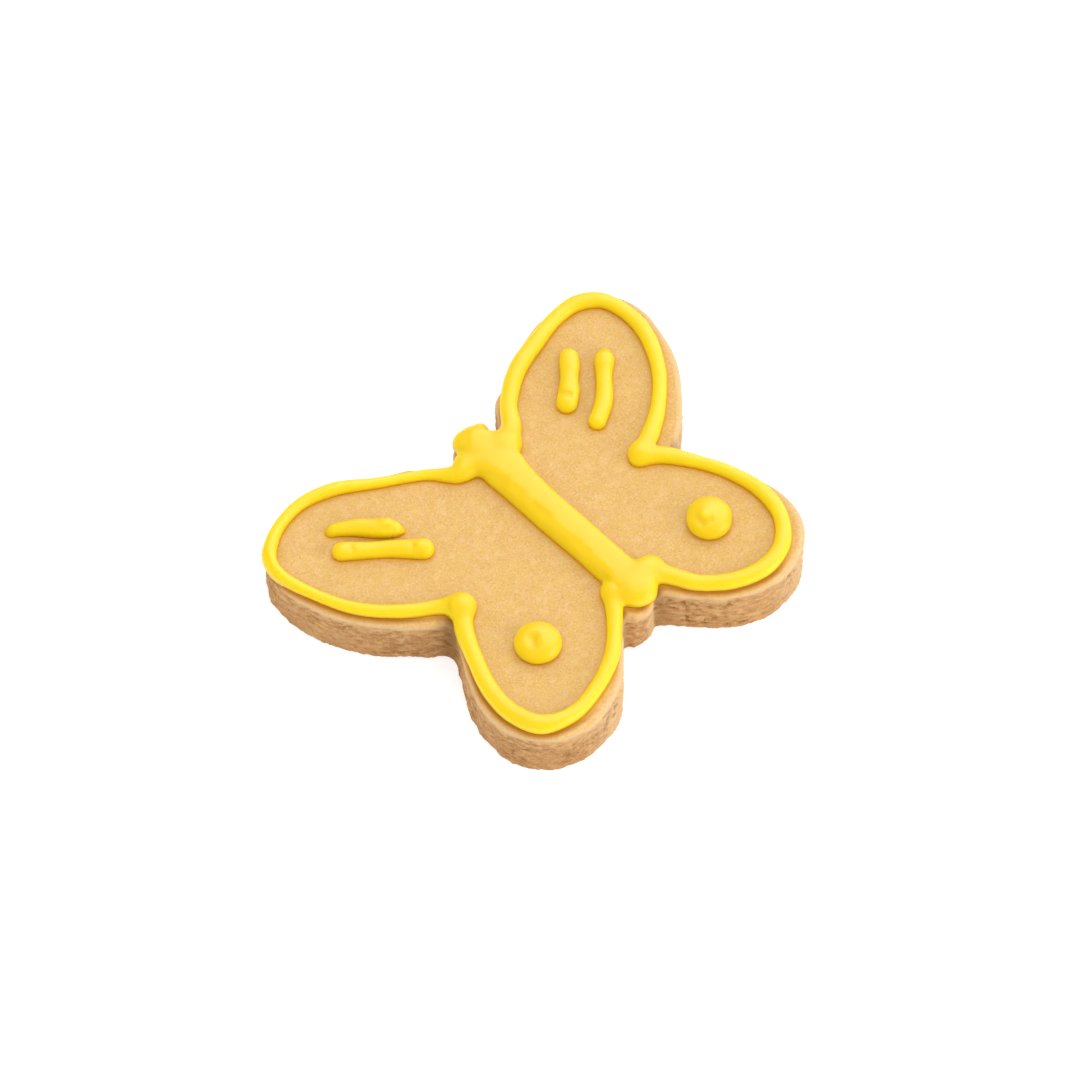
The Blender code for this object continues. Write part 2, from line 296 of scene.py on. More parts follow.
# Blobs where the piping starts, stops or turns, as (x, y, radius, height).
BLOBS = [
    (0.4, 21.4, 2.5, 2.5),
    (2.4, 21.4, 1.9, 2.5),
    (4.0, 21.8, 0.85, 2.1),
    (-2.6, 18.6, 1.9, 2.5),
    (5.2, 16.8, 2.1, 2.7),
    (-22.1, -1.6, 2.1, 2.5),
    (20.1, 1.0, 1.6, 2.4),
    (-2.0, -16.2, 1.7, 2.3),
    (-0.9, -15.6, 1.6, 2.3),
    (4.6, -16.8, 2.1, 2.7),
    (6.1, -17.0, 1.9, 2.4),
    (1.4, -18.2, 3.3, 2.9),
]
# Thin smears beside dashes, and dots, likewise.
SMEARS = {"icing_dash_left_front": [(-27.8, 24.0, 0.7, 0.5)]}
DOTS = {
    "icing_dot_left": [(-17.6, -15.3, 3.95, 3.2)],
    "icing_dot_right": [(19.3, -16.6, 3.75, 3.5), (19.7, -16.2, 3.75, 3.5)],
}

# Dents (or below 0, bumps) left by the nozzle, as (x, y) to (x, y), height over the
# biscuit's top, radius and depth.
MARKS = {
    "icing_outline": [
        (-2.6, 14.0, -1.9, -13.0, 3.2, 1.3, 0.6),
        (-1.9, 13.8, -1.1, 11.0, 2.8, 0.8, 0.45),
        (-0.8, 9.0, -0.7, 7.4, 3.0, 0.7, 0.2),
        (-0.8, 4.2, -0.6, 0.9, 3.0, 0.7, 0.3),
        (-0.6, -5.0, -0.5, -8.4, 3.0, 0.7, 0.2),
        (0.8, 22.0, -0.1, 20.9, 2.7, 0.6, 0.15),
        (4.7, 21.3, 4.6, 20.9, 2.2, 0.6, 1.2),
        (-23.5, -0.4, -25.0, -1.8, 2.0, 0.45, 0.3),
        (-1.3, -13.2, -1.3, -16.8, 2.3, 0.6, 0.25),
        (-4.8, 17.7, -4.4, 17.8, 2.2, 0.8, -0.2),
        (5.8, 16.4, 5.9, 16.6, 2.6, 0.8, -0.2),
    ],
    "icing_dash_left_front": [
        (-21.4, 17.4, -20.9, 17.2, 2.2, 0.5, 0.25),
        (-20.6, 18.2, -20.4, 18.3, 2.3, 0.9, -0.2),
    ],
    "icing_dash_left_back": [
        (-21.2, 11.3, -20.3, 11.9, 2.4, 0.45, 0.25),
        (-28.2, 18.0, -27.8, 18.8, 2.3, 0.5, 0.3),
        (-29.3, 19.4, -29.2, 19.5, 2.2, 0.9, -0.2),
        (-19.4, 11.4, -19.3, 11.5, 2.2, 0.9, -0.2),
    ],
    "icing_dash_right_front": [
        (18.2, 18.0, 18.8, 16.4, 2.2, 0.5, 0.35),
    ],
    "icing_dot_left": [
        (-18.5, -14.9, -18.9, -15.6, 3.0, 1.0, 0.65),
    ],
    "icing_dot_right": [
        (18.4, -16.2, 18.4, -16.3, 3.4, 0.85, -0.45),
        (17.3, -15.6, 17.2, -16.9, 2.9, 0.7, 0.3),
        (17.3, -17.1, 18.6, -17.7, 2.9, 0.7, 0.3),
    ],
}

# Colours, as linear red, green and blue, and for the studio's with opacity.
TOP_TAN = (0.607, 0.368, 0.109)
TOP_GOLD = (0.631, 0.396, 0.113)
TOP_ROSY = (0.647, 0.384, 0.147)
TOP_PALE = (0.693, 0.476, 0.202)
# The wall's colours are darker than the top's: partly the wall's own browner dough, partly
# painted shade.
SIDE_TAN = (0.446, 0.23, 0.0871)
SIDE_GOLD = (0.526, 0.288, 0.106)
SIDE_BROWN = (0.294, 0.128, 0.0403)
SIDE_PALE = (0.642, 0.416, 0.21)
SIDE_BAKED = (0.349, 0.16, 0.0571)
# painted light: the wall that faces the lit side, painted lighter
SIDE_PAINTED_LIGHT = (0.665, 0.465, 0.252)
BAND_SANDY = (0.656, 0.438, 0.22)
# painted shade in the wall's fissures and in the pits of the top's grain
CRACK_SHADE = (0.27, 0.13, 0.035)
GRAIN_DARK = (0.457, 0.246, 0.0581)
GRAIN_PALE = (0.756, 0.578, 0.326)
# fat stain beside the icing, also standing in as painted contact shade
TOP_SOAK_AND_SHADE = (0.7, 0.36, 0.03)
# painted shade: the stain on the rim that faces away from the light, darkened
SHADED_RIM_STAIN = (0.38, 0.14, 0.009)
# painted shade in the wall's concave corners
NOOK_SHADE = (0.22, 0.105, 0.025)
# painted contact shade, right where the icing meets the dough
CONTACT_SHADE = (0.58, 0.23, 0.002)
ICING_DEEP = (0.75, 0.515, 0.001)
ICING_LIGHT = (0.76, 0.53, 0.004)
# painted light: the icing's slopes are painted lighter
ICING_LIT_SLOPE = (0.74, 0.575, 0.0005)
# painted shade: the icing's foot, where it meets the dough, darker and more orange
ICING_SHADED_FOOT = (0.74, 0.42, 0.0005)
WHITE = (1.0, 1.0, 1.0, 1.0)
FLOOR_GREY = (0.5, 0.5, 0.5, 1.0)

# Noises in the materials, as (size of their features, detail, roughness).
DOUGH_NOISES = {
    "mottle": (5.0, 3.0, 0.5),
    "cloud": (1.7, 2.0, 0.5),
    "blush": (1.3, 2.0, 0.5),
    "grain": (0.40, 3.0, 0.65),
    "flecks": (0.34, 2.0, 0.5),
}
FIBRES = (1.6, 4.0, 0.6)
LAYER_STRETCH = (1.0, 1.0, 2.2)    # the wall's fibres lie level
ICING_NOISES = {
    "drift": (6.0, 2.0, 0.5),
    "gloss": (1.6, 2.0, 0.5),
    "ripple": (1.1, 3.0, 0.5),
}
BAKED_TOP = 6.0                    # the wall is browner below this height

# Layers of colour, each over the one before, as (mask, its value where the layer begins, its
# value where the layer is full, the layer's share there, colour). A mask is a noise, a mark or
# the dough's level over its base in metres. A colour may be given as a mask's name, the colour
# where that mask is 0 and the colour where it is 1.
TOP_LAYERS = [
    ("mottle", 0.35, 0.65, 1.0, TOP_GOLD),
    ("blush", 0.45, 0.7, 1.0, TOP_ROSY),
    ("cloud", 0.5, 0.7, 0.45, TOP_PALE),
]
SIDE_LAYERS = [
    ("mottle", 0.35, 0.65, 1.0, SIDE_GOLD),
    ("fibres", 0.5, 0.68, 0.8, SIDE_BROWN),
    ("fibres", 0.48, 0.34, 0.65, SIDE_PALE),
    ("level", BAKED_TOP * MM, 0.0, 0.45, SIDE_BAKED),
]
DOUGH_LAYERS = [
    # painted light: the wall that faces the lit side is painted lighter
    ("painted_light", 0.0, 1.0, 0.6, SIDE_PAINTED_LIGHT),
    # painted shade in fissures and grain pits
    ("recess", 0.08, 0.4, 0.7, CRACK_SHADE),
    ("grain", 0.5, 0.75, 0.6, GRAIN_DARK),
    ("flecks", 0.5, 0.75, 0.5, ("wall", GRAIN_PALE, SIDE_PALE)),
    # fat stain and painted contact shade beside the icing, with painted shade on the rim away
    # from the light
    ("soak_and_shade", 0.0, 0.7, 0.9, ("rim_shade", TOP_SOAK_AND_SHADE, SHADED_RIM_STAIN)),
    # painted contact shade where the icing meets the dough
    ("soak_and_shade", 0.7, 1.0, 0.8, CONTACT_SHADE),
    # painted shade in concave corners
    ("nook", 0.0, 1.0, 0.7, NOOK_SHADE),
]
ICING_LAYERS = [
    ("drift", 0.35, 0.65, 1.0, ICING_LIGHT),
    # painted light on the slopes and painted shade at the foot, by height
    ("height", 2.4, 0.8, 1.0, ICING_LIT_SLOPE),
    ("height", 1.3, 0.1, 1.0, ICING_SHADED_FOOT),
]

DOUGH_FINISH = {
    "Roughness": 0.85,
    "Specular IOR Level": 0.25,
    "Subsurface Weight": 0.25,
    "Subsurface Radius": (1.0, 0.5, 0.2),
    "Subsurface Scale": 1.0 * MM,
}
DOUGH_BUMP = 0.11                  # height of the finest grain
TOP_BUMP_STRENGTH = 0.9
WALL_BUMP_STRENGTH = 0.5
ICING_FINISH = {
    "Specular IOR Level": 0.5,
    "Subsurface Weight": 0.8,
    "Subsurface Radius": (1.0, 0.9, 0.1),
    "Subsurface Scale": 2.6 * MM,
}
ICING_ROUGHNESS = (0.34, 0.42)
ICING_ROUGHNESS_NOISE = (0.3, 0.7)    # values of the gloss noise that give these two
ICING_BUMP = 0.05
ICING_BUMP_STRENGTH = 0.3
FLOOR_FINISH = {
    "Base Color": FLOOR_GREY,
    "Roughness": 0.9,
    "Specular IOR Level": 0.1,
    "Emission Color": WHITE,
    "Emission Strength": 0.6,
}

# Studio. Round soft lights, as (azimuth from +X towards +Y and elevation in degrees, distance
# and diameter in metres, power in watts).
LIGHTS = {
    "key": (28.0, 50.0, 1.0, 0.55, 1.0),
    "top": (-130.0, 78.0, 1.0, 0.6, 2.1),
    "side": (-65.0, 20.0, 1.1, 0.8, 4.4),
    "sheen": (15.0, 42.0, 1.0, 1.6, 12.0),
}
SKY_STRENGTH = 1.1
FLOOR_HALF = 1500.0
FLOOR_DROP = 0.05         # keeps the floor just clear of the base

# Camera, in the photograph's place.
VIEW_AZIMUTH = math.radians(-42.58)
VIEW_ELEVATION = math.radians(56.58)
VIEW_DISTANCE = 1.877     # in metres, as the two clipping distances
VIEW_CLIPPING = (0.1, 10.0)
VIEW_CENTRE = Vector((-1.0, 2.27, 4.75)) * MM
LENS = 380.8
SENSOR = 36.0


def smoothstep(low, high, value):
    t = min(max((value - low) / (high - low), 0.0), 1.0)
    return t * t * (3 - 2 * t)


def curve_point(before, start, end, after, t):
    """A point on the centripetal Catmull-Rom curve from start (t = 0) to end (t = 1)."""
    knots = [0.0]
    corners = [before, start, end, after]
    for a, b in zip(corners, corners[1:]):
        knots.append(knots[-1] + math.sqrt((b - a).length))
    t = knots[1] + t * (knots[2] - knots[1])

    def blend(p, q, low, high):
        return p.lerp(q, (t - knots[low]) / (knots[high] - knots[low]))

    first = [blend(corners[i], corners[i + 1], i, i + 1) for i in range(3)]
    second = [blend(first[i], first[i + 1], i, i + 2) for i in range(2)]
    return blend(second[0], second[1], 1, 2)


def smooth_route(points, step, closed=False):
    """Points about step apart on a smooth curve through the given ones."""
    corners = [Vector(point) for point in points]
    count = len(corners)
    if closed:
        ring = [corners[-1]] + corners + corners[:2]
        spans = count
    else:
        ring = [2 * corners[0] - corners[1]] + corners + [2 * corners[-1] - corners[-2]]
        spans = count - 1
    route = []
    for i in range(spans):
        pieces = max(1, round((ring[i + 2] - ring[i + 1]).length / step))
        for k in range(pieces):
            route.append(curve_point(*ring[i:i + 4], k / pieces))
    if not closed:
        route.append(corners[-1])
    return route


def make_mesh(name, points, faces):
    """A smooth-shaded mesh object from points in millimetres."""
    mesh = bpy.data.meshes.new(name)
    mesh.from_pydata([Vector(point) * MM for point in points], [], faces)
    mesh.shade_smooth()
    thing = bpy.data.objects.new(name, mesh)
    bpy.context.scene.collection.objects.link(thing)
    return thing


def add_marks(thing, names, rows):
    """Numbers for each point of a mesh, in rows, which its material reads by their names."""
    for name, values in zip(names, zip(*rows)):
        layer = thing.data.attributes.new(name, 'FLOAT', 'POINT')
        layer.data.foreach_set("value", np.array(values, np.float32))


def point_tree(points):
    """A tree that finds the nearest of some points."""
    tree = KDTree(len(points))
    for i, point in enumerate(points):
        tree.insert(point, i)
    tree.balance()
    return tree


def biscuit_outline():
    left_half = [(-x, y) for x, y in HALF_OUTLINE[-2:0:-1]]
    return smooth_route([(x, y, 0.0) for x, y in HALF_OUTLINE + left_half],
                        OUTLINE_STEP, closed=True)


def inward_ways(outline):
    """The level direction into the biscuit from each point of its outline."""
    ways = []
    for i in range(len(outline)):
        along = (outline[(i + 1) % len(outline)].xy - outline[i - 1].xy).normalized()
        ways.append(Vector((along.y, -along.x)))
    return ways


def facing(inward, side, begins, full):
    """How squarely a stretch of outline faces a side, from 0 to 1."""
    return smoothstep(begins, full, -inward.dot(side))


def find_nooks(outline, inward):
    """How deep in a concave corner each point of the outline lies, from 0 to 1."""
    span = round(NOOK_SPAN / OUTLINE_STEP)
    nooks = []
    for i, way in enumerate(inward):
        middle = (outline[i - span] + outline[(i + span) % len(outline)]) / 2
        nooks.append(smoothstep(*NOOK_DEPTHS, (outline[i] - middle).xy.dot(way)))
    return nooks


def level_noise(x, y, z, length, height):
    """A noise whose features are longer than they are high."""
    return noise.noise(Vector((x / length, y / length, z / height)))


def wall_relief(x, y, z):
    """How far the wall is pushed in, in millimetres: its large form, its fissures and crumb,
    and the share of the smooth band under the rim."""
    here = Vector((x, y, z))
    wobble = noise.noise(here / WOBBLE_LENGTH) * WALL_WOBBLE
    level = level_noise(x, y, z, CRACK_LENGTH, CRACK_HEIGHT)
    crack = max(0.0, abs(level) - CRACK_START) * CRACK_DEPTH

    wander = noise.noise(Vector((x, y, 0.0)) / SHOULDER_WANDER_LENGTH) * SHOULDER_WANDER
    shoulder = SHOULDER + wander
    band = smoothstep(shoulder - SHOULDER_HALF, shoulder + SHOULDER_HALF, z)
    level = level_noise(x, y, z, FISSURE_LENGTH, FISSURE_HEIGHT)
    fissure = max(0.0, 1 - abs(level) / FISSURE_WIDTH) * FISSURE_DEPTH
    level = level_noise(x, y, z, STREAK_LENGTH, STREAK_HEIGHT)
    streak = max(0.0, level - STREAK_START) * STREAK_DEPTH
    crowd = PATCH_LEAST + smoothstep(*PATCH_EDGE, noise.noise(here / PATCH_LENGTH))
    torn = (fissure + streak) * crowd * smoothstep(*TORN_START, z)
    crumb = noise.fractal(here / CRUMB_SIZE, *FINE_FRACTAL) * CRUMB_DEPTH
    foot = 1 - smoothstep(0.0, FOOT_CRUMB_REACH, z)
    foot_crumb = noise.fractal(here / FOOT_CRUMB_SIZE, *FOOT_FRACTAL) * FOOT_CRUMB_DEPTH * foot
    return wobble + crack, (WAIST_DEPTH + torn + crumb + foot_crumb) * (1 - band), band


def top_relief(x, y):
    """Height of the top over its mean, in millimetres: its slow swell and its grain."""
    swell = noise.noise(Vector((x, y, 0.0)) / TOP_SWELL_LENGTH) * TOP_SWELL
    grain = noise.fractal(Vector((x, y, GRAIN_SLICE)) / TOP_GRAIN_SIZE, *FINE_FRACTAL) * TOP_GRAIN
    return swell, grain


def wall_levels():
    """Levels from base to top, as (height, lean inwards, share of the relief)."""
    levels = []
    for k in range(FOOT_STEPS):
        angle = 0.5 * math.pi * k / FOOT_STEPS
        levels.append((FOOT_RADIUS * (1 - math.cos(angle)),
                       FOOT_RADIUS * (1 - math.sin(angle)), 1.0))
    wall = THICKNESS - RIM_RADIUS - FOOT_RADIUS
    for row in range(WALL_ROWS):
        levels.append((FOOT_RADIUS + wall * row / (WALL_ROWS - 1), 0.0, 1.0))
    for k in range(1, RIM_STEPS + 1):
        angle = 0.5 * math.pi * k / RIM_STEPS
        levels.append((THICKNESS - RIM_RADIUS * (1 - math.sin(angle)),
                       RIM_RADIUS * (1 - math.cos(angle)), math.cos(angle)))
    return levels


def wall_rings(outline, inward):
    """The wall's rings of points from base to top, and the marks of all these points."""
    # concave corners, which the material paints in shade
    nooks = find_nooks(outline, inward)
    rings, marks = [], []
    for z, inset, share in wall_levels():
        ring = []
        top_share = smoothstep(THICKNESS - RIM_RADIUS, THICKNESS, z)
        for point, way, nook in zip(outline, inward, nooks):
            large, fine, band = wall_relief(point.x, point.y, z)
            depth = inset + share * (large + fine)
            x, y = point.x + way.x * depth, point.y + way.y * depth
            swell, grain = top_relief(x, y)
            ring.append((x, y, z + top_share * (swell + grain)))
            # the fissure's depth, which the material paints in shade
            recess = share * (fine - WAIST_DEPTH * (1 - band))
            # how squarely the wall faces the lit side, where it is painted lighter
            painted_light = facing(way, LIT_SIDE, *LIT_FACING)
            marks.append((recess, 1 - top_share, band, nook, painted_light))
        rings.append(ring)
    return rings, marks


def skin_rings(rings):
    """Quads between successive closed rings of equal length, facing out."""
    sides = len(rings[0])
    faces = []
    for row in range(len(rings) - 1):
        low = row * sides
        for i in range(sides):
            j = (i + 1) % sides
            faces.append((low + sides + i, low + sides + j, low + j, low + i))
    return faces


def inside(points, outline):
    """Whether each point lies within a closed outline."""
    crossings = np.zeros(len(points), int)
    for (x0, y0), (x1, y1) in zip(outline, np.roll(outline, -1, axis=0)):
        spans = (y0 > points[:, 1]) != (y1 > points[:, 1])
        if y0 != y1:
            reach = x0 + (points[:, 1] - y0) * (x1 - x0) / (y1 - y0)
            crossings += spans & (points[:, 0] < reach)
    return crossings % 2 == 1


def fill_flat(ring, step):
    """Triangles over a closed outline on an even lattice: the inner points and the faces."""
    outline = np.array([(point[0], point[1]) for point in ring])
    low, high = outline.min(axis=0), outline.max(axis=0)
    rows = []
    for k, y in enumerate(np.arange(low[1], high[1], step * ROW_PITCH)):
        xs = np.arange(low[0] + (k % 2) * step / 2, high[0], step)
        rows.append(np.column_stack([xs, np.full(len(xs), y)]))
    lattice = np.concatenate(rows)
    lattice = lattice[inside(lattice, outline)]
    edge = point_tree([(x, y, 0.0) for x, y in outline])
    clear = [edge.find((x, y, 0.0))[2] > EDGE_CLEARANCE * step for x, y in lattice]
    lattice = lattice[np.array(clear)]
    corners = [Vector(point) for point in (*outline, *lattice)]
    border = list(range(len(outline)))
    found = delaunay_2d_cdt(corners, [], [border], KEEP_INSIDE, MERGE_DISTANCE)
    return lattice, found[2]


def close_end(points, faces, marks, first, sides, step, upward):
    """Fills the top or the base, whose ring of points starts at first, with even triangles."""
    lattice, triangles = fill_flat(points[first:first + sides], step)
    start = len(points)
    for x, y in lattice:
        swell, grain = top_relief(x, y) if upward else (0.0, 0.0)
        points.append((x, y, THICKNESS + swell + grain if upward else 0.0))
        # the grain's pits count as recesses, which the material paints in shade
        marks.append((-grain, *FLAT_MARKS))
    for triangle in triangles:
        face = [first + i if i < sides else start + i - sides for i in triangle]
        ahead = Vector(points[face[1]]).xy - Vector(points[face[0]]).xy
        aside = Vector(points[face[2]]).xy - Vector(points[face[0]]).xy
        turns_left = ahead.cross(aside) > 0
        faces.append(tuple(face if turns_left == upward else reversed(face)))


def make_biscuit(outline, inward):
    """Baked dough: layered, crumbly wall, rounded rim and sandy, slightly uneven top."""
    rings, marks = wall_rings(outline, inward)
    points = [point for ring in rings for point in ring]
    faces = skin_rings(rings)
    sides = len(outline)
    last_ring = len(points) - sides
    close_end(points, faces, marks, 0, sides, BASE_STEP, upward=False)
    close_end(points, faces, marks, last_ring, sides, TOP_STEP, upward=True)
    biscuit = make_mesh("baked_biscuit", points, faces)
    add_marks(biscuit, DOUGH_MARKS, marks)
    return biscuit


def soak_and_shade(biscuit, runs, outline, inward):
    """Marks how near each point of the biscuit is to the icing, from 1 down to 0, for a fat stain
    and painted contact shade, and how much painted shade the rim gets there, away from the light."""
    icing = point_tree([vertex.co for run in runs for vertex in run.data.vertices])
    rim = point_tree(outline)
    shaded = [facing(way, SHADED_SIDE, *SHADED_FACING) for way in inward]
    marks = []
    for vertex in biscuit.data.vertices:
        _, index, distance = rim.find((vertex.co.x / MM, vertex.co.y / MM, 0.0))
        # painted shade on the rim that faces away from the light
        rim_shade = shaded[index] * smoothstep(*reversed(RIM_STRIP), distance)
        reach = SOAK_AND_SHADE_REACH + (SHADED_RIM_REACH - SOAK_AND_SHADE_REACH) * rim_shade
        near = max(0.0, 1 - icing.find(vertex.co)[2] / (reach * MM))
        marks.append((near, rim_shade))
    add_marks(biscuit, SOAK_AND_SHADE_MARKS, marks)


def bead_stations(points):
    """Stations (x, y, half width, height of the widest level, rise over it) of a bead."""
    return [(x, y, half_width, half_width * BEAD_CENTRE, half_width * (BEAD_HEIGHT - BEAD_CENTRE))
            for x, y, half_width in smooth_route(points, BEAD_STEP)]


def bar_stations(points):
    return [(x, y, half_width, BODY_CENTRE, BODY_HEIGHT - BODY_CENTRE)
            for x, y, half_width in smooth_route(points, BEAD_STEP)]


def blob_stations(x, y, radius, height):
    return [(x, y, radius, BLOB_CENTRE * height, (1 - BLOB_CENTRE) * height)]


def grid_axes(stations, cell):
    """Coordinates along X, Y and height of a grid that holds the stations' icing."""
    spots = np.array(stations)
    reach = spots[:, 2].max() + SIDE_MARGIN * cell
    low = spots[:, :2].min(axis=0) - reach
    high = spots[:, :2].max(axis=0) + reach
    top = (spots[:, 3] + spots[:, 4]).max() + FLOW_REACH
    return [np.arange(low[0], high[0], cell), np.arange(low[1], high[1], cell),
            np.arange(-ICING_SINK - UNDER_MARGIN * cell, top, cell)]


def near_segment(axes, start, end, reach):
    """The grid's window round a segment, with the share along it and the distance to it."""
    window = []
    for k in range(2):
        first = np.searchsorted(axes[k], min(start[k], end[k]) - reach)
        last = np.searchsorted(axes[k], max(start[k], end[k]) + reach)
        window.append(slice(first, last))
    x = axes[0][window[0]][:, None]
    y = axes[1][window[1]][None, :]
    along_x, along_y = end[0] - start[0], end[1] - start[1]
    length_squared = max(along_x ** 2 + along_y ** 2, TINY)
    share = ((x - start[0]) * along_x + (y - start[1]) * along_y) / length_squared
    share = np.clip(share, 0, 1)
    aside = np.hypot(x - start[0] - share * along_x, y - start[1] - share * along_y)
    return tuple(window), share[..., None], aside[..., None]


def chain_field(axes, stations, squareness):
    """Rough distances to the icing laid from station to station, below 0 inside it."""
    field = np.full([len(axis) for axis in axes], FAR)
    for start, end in zip(stations, stations[1:] or stations):
        reach = max(start[2], end[2]) + FAR
        window, share, aside = near_segment(axes, start, end, reach)
        width, centre, rise = [start[k] + share * (end[k] - start[k]) for k in (2, 3, 4)]
        lift = np.abs(axes[2] - centre)
        scale = ((aside / width) ** squareness + (lift / rise) ** squareness) ** (1 / squareness)
        distance = np.hypot(aside, lift) * (1 - 1 / np.maximum(scale, TINY))
        np.minimum(field[window], distance, out=field[window])
    return field


def smooth_union(first, second):
    """Both fields' icing, flowing together where the two meet."""
    near = np.maximum(FLOW_REACH - np.abs(first - second), 0.0)
    return np.minimum(first, second) - near ** 2 / (4 * FLOW_REACH)


def press_mark(field, axes, mark):
    """A soft dent along a segment, or a bump where its depth is below 0."""
    x0, y0, x1, y1, height, radius, depth = mark
    window, _, aside = near_segment(axes, (x0, y0), (x1, y1), MARK_REACH * radius)
    distance_squared = aside ** 2 + (axes[2] - height) ** 2
    field[window] += depth * np.exp(-distance_squared / radius ** 2)


def surface_net(field, axes):
    """Points and quads of the surface where a field is zero, facing out of its inside."""
    shape = np.array(field.shape)
    corners, spots = [], []
    for axis in range(3):
        low = np.moveaxis(field, axis, 0)[:-1]
        high = np.moveaxis(field, axis, 0)[1:]
        crossing = np.argwhere((low < 0) != (high < 0))
        before, after = low[tuple(crossing.T)], high[tuple(crossing.T)]
        edge = np.insert(crossing[:, 1:], axis, crossing[:, 0], axis=1)
        spot = edge.astype(float)
        spot[:, axis] += before / (before - after)
        u, v = (axis + 1) % 3, (axis + 2) % 3
        around = []
        for du, dv in ((0, 0), (1, 0), (1, 1), (0, 1)):
            cell = edge.copy()
            cell[:, u] -= du
            cell[:, v] -= dv
            around.append(np.ravel_multi_index(cell.T, shape))
        quads = np.column_stack(around)
        inward = before > 0
        quads[inward] = quads[inward, ::-1]
        corners.append(quads)
        spots.append(np.repeat(spot, 4, axis=0))
    corners, spots = np.concatenate(corners), np.concatenate(spots)
    index = np.unique(corners.ravel(), return_inverse=True)[1]
    count = np.bincount(index)
    means = np.column_stack([np.bincount(index, spots[:, k]) / count for k in range(3)])
    points = np.array([axis[0] for axis in axes]) + means * (axes[0][1] - axes[0][0])
    return points, index.reshape(-1, 4)


def relax(points, quads, rounds):
    """Moves each point half way to the mean of its neighbours, several times."""
    first = quads.ravel()
    second = np.roll(quads, -1, axis=1).ravel()
    count = np.bincount(first)[:, None]
    for _ in range(rounds):
        total = np.column_stack([np.bincount(first, points[second, k]) for k in range(3)])
        points = (points + total / count) / 2
    return points


def rim_drop(distance):
    """How far the rounded rim lies below the top, at a distance inside the outline."""
    short = min(max(RIM_RADIUS - distance, 0.0), RIM_RADIUS)
    return RIM_RADIUS - math.sqrt(RIM_RADIUS ** 2 - short ** 2)


def lay_on_top(points, outline):
    """Turns heights over the biscuit into places on it. Icing over the rim follows it down."""
    edge = point_tree(outline)
    laid = []
    within = inside(points[:, :2], np.array([point.xy for point in outline]))
    for (x, y, height), on_biscuit in zip(points, within):
        distance = edge.find((x, y, 0.0))[2] if on_biscuit else 0.0
        drop = rim_drop(distance) * RIM_SAG * math.exp(-max(height, 0.0) / SAG_FADE)
        laid.append((x, y, THICKNESS + height + top_relief(x, y)[0] - drop))
    return laid


def pipe_icing(node, chains, cell, outline):
    """One run of icing from its chains of (stations, squareness), laid on the biscuit."""
    axes = grid_axes([station for stations, _ in chains for station in stations], cell)
    field = np.full([len(axis) for axis in axes], FAR)
    for stations, squareness in chains:
        field = smooth_union(field, chain_field(axes, stations, squareness))
    drift = [[noise.noise(Vector((x, y, UNEVENNESS_SLICE)) / UNEVENNESS_LENGTH) for y in axes[1]]
             for x in axes[0]]
    field += UNEVENNESS * np.array(drift)[..., None]
    for mark in MARKS.get(node, []):
        press_mark(field, axes, mark)
    field = np.maximum(field, -ICING_SINK - axes[2])
    points, quads = surface_net(field, axes)
    points = relax(points, quads, RELAX_ROUNDS)
    run = make_mesh(node.replace("icing", "piped"), lay_on_top(points, outline), quads.tolist())
    add_marks(run, ["height"], points[:, 2:])
    return run


def pipe_all(outline):
    """Every run of icing, by the name of the node that it stands for."""
    chains = [(bar_stations(BODY_BAR), BODY_SQUARENESS)]
    chains += [(bead_stations(route), BEAD_SQUARENESS)
               for route in (LEFT_FOREWING, LEFT_HINDWING, RIGHT_FOREWING, RIGHT_HINDWING)]
    chains += [(blob_stations(*blob), BLOB_SQUARENESS) for blob in BLOBS]
    runs = {"icing_outline": pipe_icing("icing_outline", chains, CELL, outline)}
    for node, route in DASHES.items():
        chains = [(bead_stations(route), BEAD_SQUARENESS)]
        chains += [(blob_stations(*smear), ROUND_SQUARENESS) for smear in SMEARS.get(node, [])]
        runs[node] = pipe_icing(node, chains, FINE_CELL, outline)
    for node, domes in DOTS.items():
        stations = [station for dome in domes for station in blob_stations(*dome)]
        runs[node] = pipe_icing(node, [(stations, ROUND_SQUARENESS)], FINE_CELL, outline)
    return runs


def add_node(tree, kind, **inputs):
    """A shader node with some of its inputs set, either to a value or from a socket."""
    node = tree.nodes.new(kind)
    for key, value in inputs.items():
        socket = node.inputs[key.replace("_", " ")]
        if isinstance(value, bpy.types.NodeSocket):
            tree.links.new(value, socket)
        else:
            socket.default_value = value
    return node


def noise_field(tree, place, size, detail, roughness):
    """A noise between about 0 and 1 with features of a size in millimetres."""
    node = add_node(tree, "ShaderNodeTexNoise", Vector=place, Scale=1 / (size * MM),
                    Detail=detail, Roughness=roughness)
    return node.outputs["Fac"]


def attribute(tree, name):
    node = tree.nodes.new("ShaderNodeAttribute")
    node.attribute_name = name
    return node.outputs["Fac"]


def spread(tree, value, low, high, start, end):
    """Value stretched so that low and high become start and end, and held there."""
    node = add_node(tree, "ShaderNodeMapRange", Value=value, From_Min=low, From_Max=high,
                    To_Min=start, To_Max=end)
    return node.outputs["Result"]


def blend_colours(tree, share, first, second):
    node = tree.nodes.new("ShaderNodeMix")
    node.data_type = 'RGBA'
    tree.links.new(share, node.inputs["Factor"])
    colour_sockets = [socket for socket in node.inputs if socket.type == 'RGBA']
    for socket, value in zip(colour_sockets, (first, second)):
        if isinstance(value, bpy.types.NodeSocket):
            tree.links.new(value, socket)
        else:
            socket.default_value = (*value, 1.0)
    return next(socket for socket in node.outputs if socket.type == 'RGBA')


